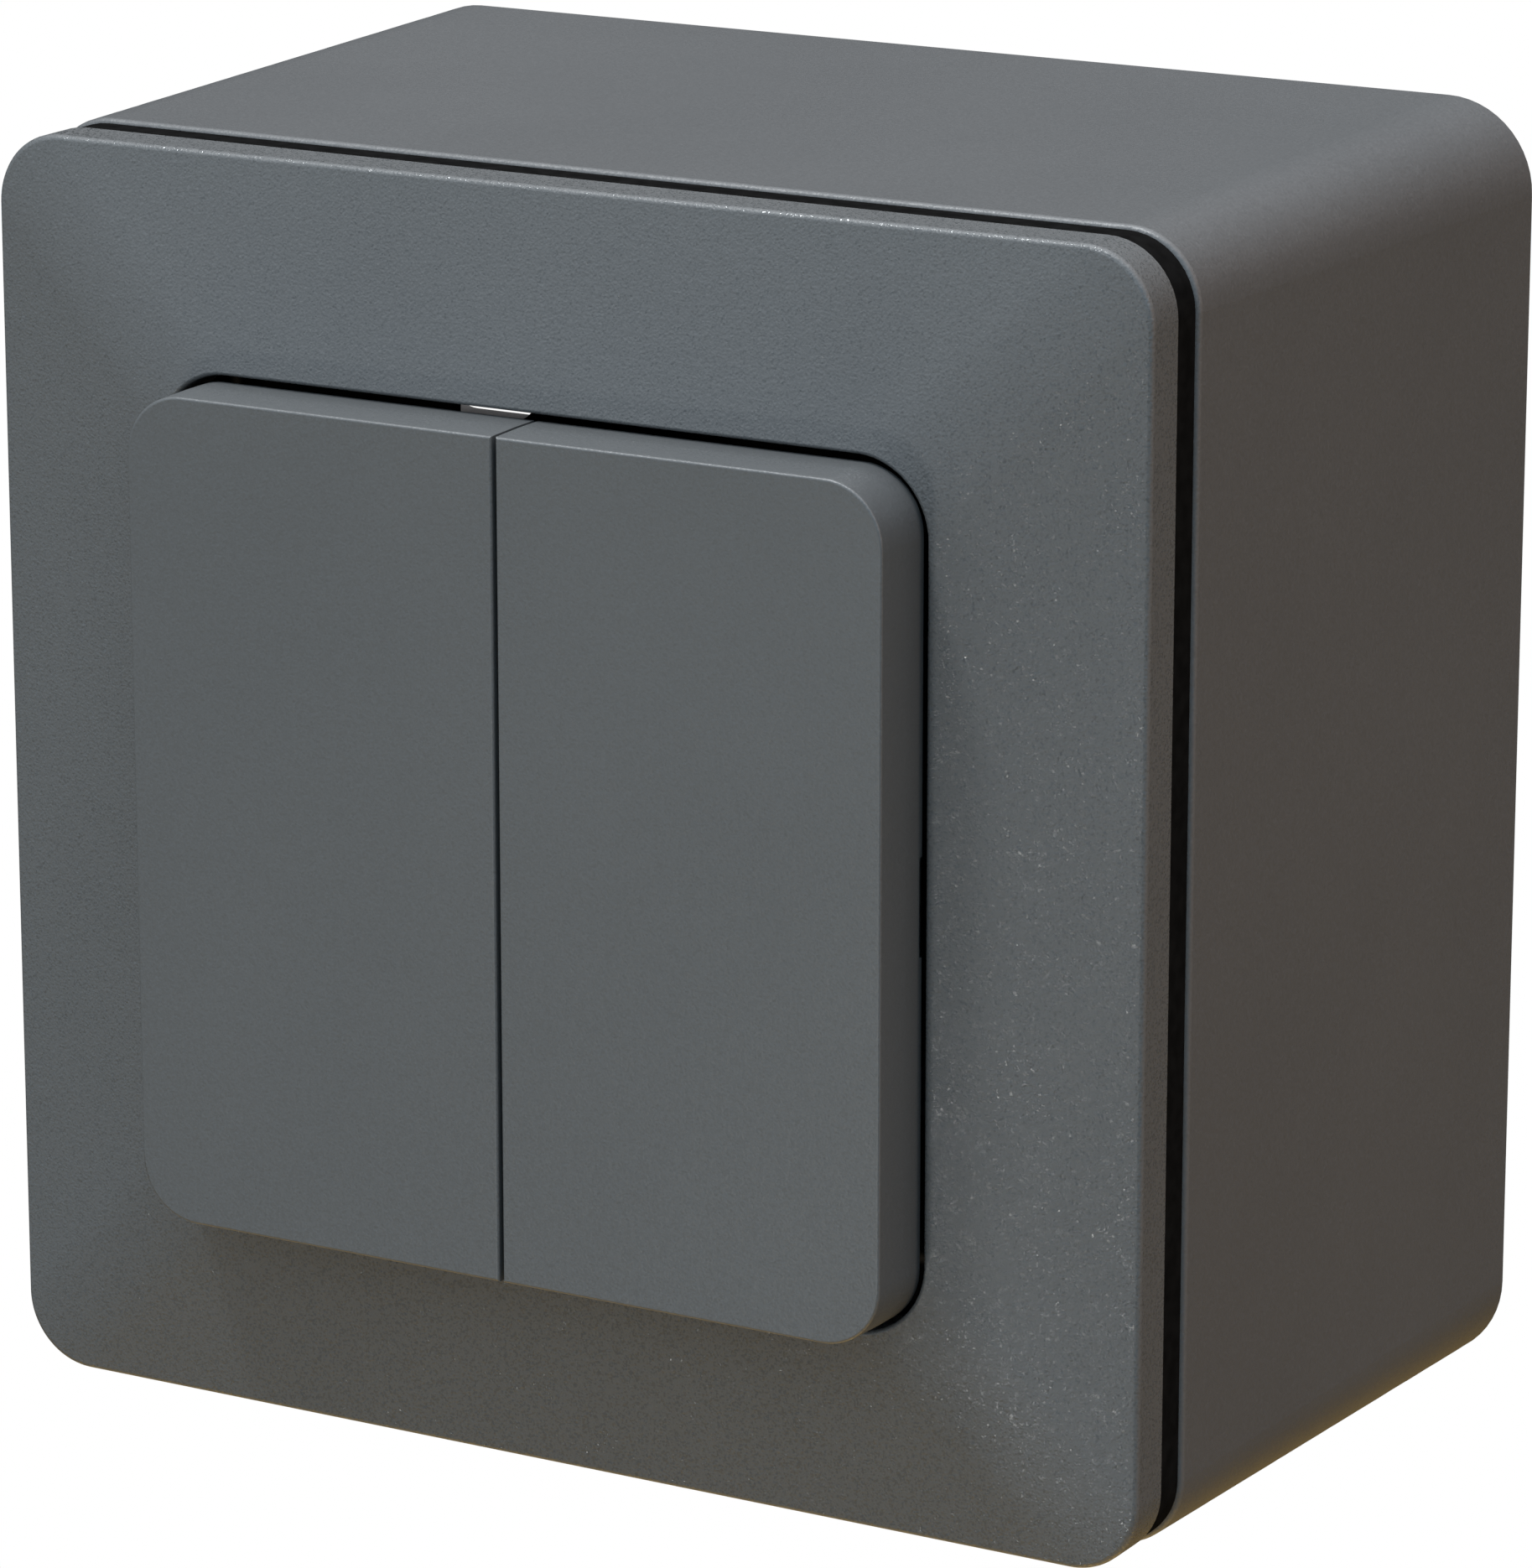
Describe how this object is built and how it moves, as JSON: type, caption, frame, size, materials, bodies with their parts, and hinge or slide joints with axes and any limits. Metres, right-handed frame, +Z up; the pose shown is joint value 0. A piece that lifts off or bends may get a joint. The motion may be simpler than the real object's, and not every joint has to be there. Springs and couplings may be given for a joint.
{
  "type": "rocker wall switch",
  "caption": "Surface-mounted two-gang rocker wall switch with a deep back box, spacer ring, pyramid-shaped cover frame and tilting keys over see-saw contacts.",
  "frame": {"origin": "centre of the wall face of the box", "axes": "-Y out of the wall towards the user, +X to the right as seen from the front, +Z up"},
  "size_m": [0.0878, 0.0591, 0.0878],
  "materials": {
    "anthracite_box": "satin, fine spark-eroded grain",
    "anthracite_frame": "satin, fine leather-like grain",
    "anthracite_key": "satin, very fine grain",
    "black_plastic": "dull",
    "zinc_steel": "black-passivated zinc",
    "screw_steel": "zinc plated",
    "dark_thermoset": "dull moulded",
    "cradle_plastic": "dull moulded",
    "plunger_plastic": "smooth acetal",
    "spring_steel": "drawn wire",
    "brass": "stamped",
    "copper_alloy": "stamped bronze",
    "silver_contact": "silver alloy"
  },
  "bodies": {
    "housing": {"common_contact_bar": "brass", "cover_frame": "anthracite_frame", "left_fixed_contact": "silver_contact", "left_output_strip": "brass", "lower_left_cage": "brass", "lower_right_cage": "brass", "mechanism_base": "dark_thermoset", "mechanism_cover": "dark_thermoset", "mechanism_rivets": "screw_steel", "right_fixed_contact": "silver_contact", "right_output_strip": "brass", "spacer_ring": "black_plastic", "support_frame": "zinc_steel", "support_frame_screws": "screw_steel", "surface_box": "anthracite_box", "terminal_screws": "screw_steel", "upper_left_cage": "brass", "upper_right_cage": "brass"},
    "left_key_unit": {"left_key": "anthracite_key", "left_rocker": "cradle_plastic", "left_plunger_spring": "spring_steel"},
    "left_plunger_unit": {"left_plunger": "plunger_plastic"},
    "left_blade_unit": {"left_contact_blade": "copper_alloy", "left_moving_contact": "silver_contact"},
    "right_key_unit": {"right_key": "anthracite_key", "right_rocker": "cradle_plastic", "right_plunger_spring": "spring_steel"},
    "right_plunger_unit": {"right_plunger": "plunger_plastic"},
    "right_blade_unit": {"right_contact_blade": "copper_alloy", "right_moving_contact": "silver_contact"}
  },
  "joints": [
    {"name": "left_key_tilt", "type": "hinge", "parent": "housing", "child": "left_key_unit", "pos_m": [-0.0109, -0.05, 0], "axis": [1, 0, 0], "range_deg": [-3.5, 3.5]},
    {"name": "left_plunger_slide", "type": "slide", "parent": "left_key_unit", "child": "left_plunger_unit", "axis": [0, -1, 0], "range_m": [0, 0.0012], "stiffness_N_per_m": 350, "springref_m": -0.003, "deforming": ["left_plunger_spring"]},
    {"name": "left_contact_rock", "type": "hinge", "parent": "housing", "child": "left_blade_unit", "pos_m": [-0.0109, -0.037, 0], "axis": [1, 0, 0], "range_deg": [-7.8, 7.8]},
    {"name": "right_key_tilt", "type": "hinge", "parent": "housing", "child": "right_key_unit", "pos_m": [0.0109, -0.05, 0], "axis": [1, 0, 0], "range_deg": [-3.5, 3.5]},
    {"name": "right_plunger_slide", "type": "slide", "parent": "right_key_unit", "child": "right_plunger_unit", "axis": [0, -1, 0], "range_m": [0, 0.0012], "stiffness_N_per_m": 350, "springref_m": -0.003, "deforming": ["right_plunger_spring"]},
    {"name": "right_contact_rock", "type": "hinge", "parent": "housing", "child": "right_blade_unit", "pos_m": [0.0109, -0.037, 0], "axis": [1, 0, 0], "range_deg": [-7.8, 7.8]}
  ],
  "couplings": [
    {"joint": "left_contact_rock", "follows": "left_key_tilt", "ratio": -2.2},
    {"joint": "right_contact_rock", "follows": "right_key_tilt", "ratio": -2.2}
  ]
}
